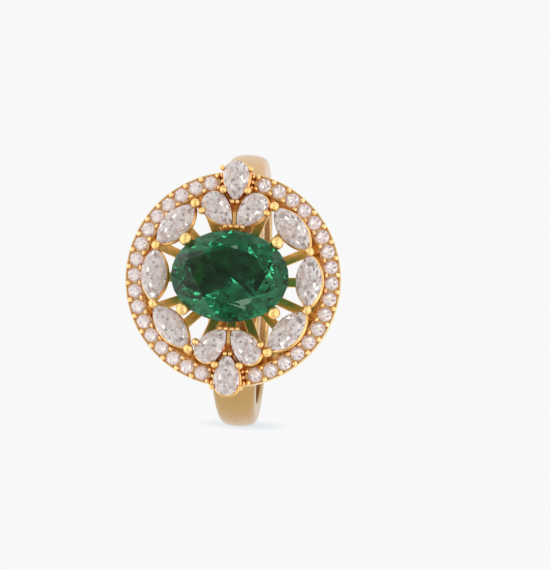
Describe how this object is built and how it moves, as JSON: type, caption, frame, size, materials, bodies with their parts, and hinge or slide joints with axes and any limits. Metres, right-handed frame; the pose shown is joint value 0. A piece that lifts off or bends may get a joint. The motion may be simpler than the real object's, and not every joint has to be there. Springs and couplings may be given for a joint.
{
  "type": "cocktail ring",
  "caption": "Gold finger ring with a raised oval green stone in claws, framed by pointed and drop-shaped clear stones and a round pave halo.",
  "frame": {"origin": "centre of the finger hole", "axes": "+X along the finger hole, +Z from the finger up through the centre stone, +Y across the knuckle towards the top pear group"},
  "size_m": [0.0166, 0.0218, 0.0275],
  "materials": {
    "gold": "polished yellow gold",
    "green_stone": "polished facets",
    "white_stone": "polished facets"
  },
  "bodies": {
    "root": {"shank": "gold", "gallery": "gold", "halo_rim": "gold", "centre_basket": "gold", "marquise_setting_right": "gold", "marquise_setting_upper_right": "gold", "marquise_setting_upper_left": "gold", "marquise_setting_left": "gold", "marquise_setting_lower_left": "gold", "marquise_setting_lower_right": "gold", "pear_setting_top": "gold", "pear_setting_bottom": "gold", "centre_stone": "green_stone", "marquise_stone_right": "white_stone", "marquise_stone_upper_right": "white_stone", "marquise_stone_upper_left": "white_stone", "marquise_stone_left": "white_stone", "marquise_stone_lower_left": "white_stone", "marquise_stone_lower_right": "white_stone", "pear_stone_top_outer": "white_stone", "pear_stone_top_left": "white_stone", "pear_stone_top_right": "white_stone", "pear_stone_bottom_outer": "white_stone", "pear_stone_bottom_left": "white_stone", "pear_stone_bottom_right": "white_stone", "melee_right_01": "white_stone", "melee_right_02": "white_stone", "melee_right_03": "white_stone", "melee_right_04": "white_stone", "melee_right_05": "white_stone", "melee_right_06": "white_stone", "melee_right_07": "white_stone", "melee_right_08": "white_stone", "melee_right_09": "white_stone", "melee_right_10": "white_stone", "melee_right_11": "white_stone", "melee_right_12": "white_stone", "melee_right_13": "white_stone", "melee_right_14": "white_stone", "melee_right_15": "white_stone", "melee_right_16": "white_stone", "melee_right_17": "white_stone", "melee_left_01": "white_stone", "melee_left_02": "white_stone", "melee_left_03": "white_stone", "melee_left_04": "white_stone", "melee_left_05": "white_stone", "melee_left_06": "white_stone", "melee_left_07": "white_stone", "melee_left_08": "white_stone", "melee_left_09": "white_stone", "melee_left_10": "white_stone", "melee_left_11": "white_stone", "melee_left_12": "white_stone", "melee_left_13": "white_stone", "melee_left_14": "white_stone", "melee_left_15": "white_stone", "melee_left_16": "white_stone", "melee_left_17": "white_stone"}
  },
  "joints": []
}
